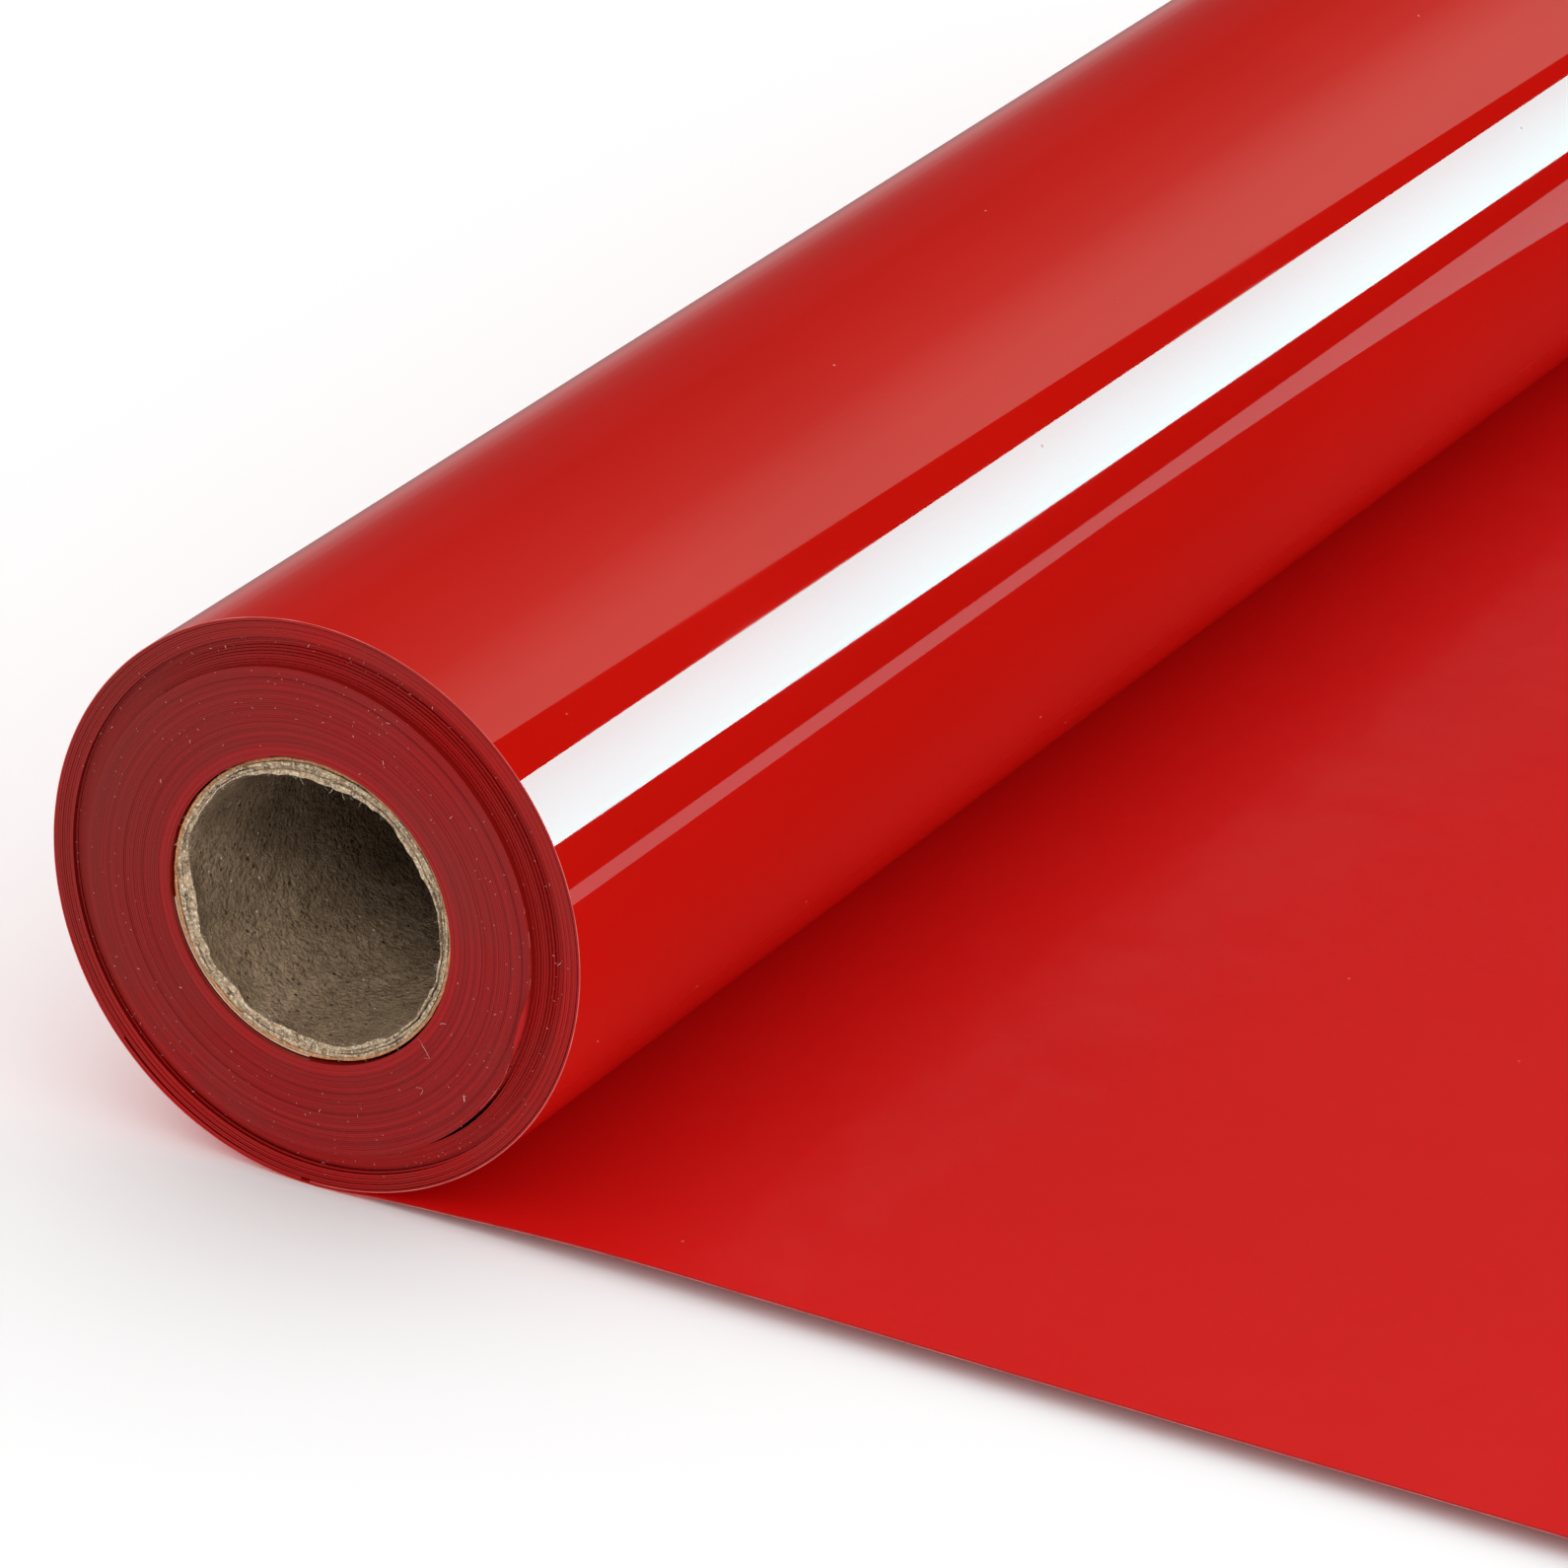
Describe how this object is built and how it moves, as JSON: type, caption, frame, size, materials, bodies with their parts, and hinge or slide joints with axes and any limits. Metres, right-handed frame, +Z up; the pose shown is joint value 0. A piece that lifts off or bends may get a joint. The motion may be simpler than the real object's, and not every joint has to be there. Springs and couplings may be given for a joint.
{
  "type": "roll of heat-transfer sign vinyl",
  "caption": "Small roll of glossy film on a paperboard core, lying with its free end drawn out flat; it rolls along the flat web to take it up again.",
  "frame": {"origin": "on the table, at the centre of the whole object's box", "axes": "+X along the roll's axis from the near end to the far end, the free end of the web points to -Y, +Z up"},
  "size_m": [0.3066, 0.1916, 0.0531],
  "materials": {
    "red_film": "satin",
    "clear_carrier": "gloss",
    "wound_edges": "satin",
    "paperboard": "matte",
    "tape": "satin"
  },
  "bodies": {
    "laid_web": {"laid_film": "red_film", "laid_carrier": "clear_carrier"},
    "outer_turn": {"outer_turn_film": "red_film", "outer_turn_carrier": "clear_carrier"},
    "loose_roll": {"loose_turns_outer": "wound_edges", "loose_turns_middle": "wound_edges", "loose_turns_inner": "wound_edges"},
    "wound_pack": {"inner_pack": "wound_edges", "first_turns": "wound_edges", "start_tape": "tape", "core_outer_ply": "paperboard", "core_middle_ply_2": "paperboard", "core_middle_ply_1": "paperboard", "core_inner_ply": "paperboard"}
  },
  "joints": [
    {"name": "roll_travel", "type": "slide", "parent": "laid_web", "child": "outer_turn", "axis": [0, -1, 0], "range_m": [0, 0.13], "deforming": ["laid_film", "laid_carrier"]},
    {"name": "roll_spin", "type": "hinge", "parent": "outer_turn", "child": "loose_roll", "pos_m": [0, 0.06923, 0.0266], "axis": [1, 0, 0], "range_deg": [0, 282]},
    {"name": "pack_telescope", "type": "slide", "parent": "loose_roll", "child": "wound_pack", "axis": [-1, 0, 0], "range_m": [-0.00115, 0.004]}
  ],
  "couplings": [
    {"joint": "roll_spin", "follows": "roll_travel", "rad_per_m": 37.736}
  ]
}
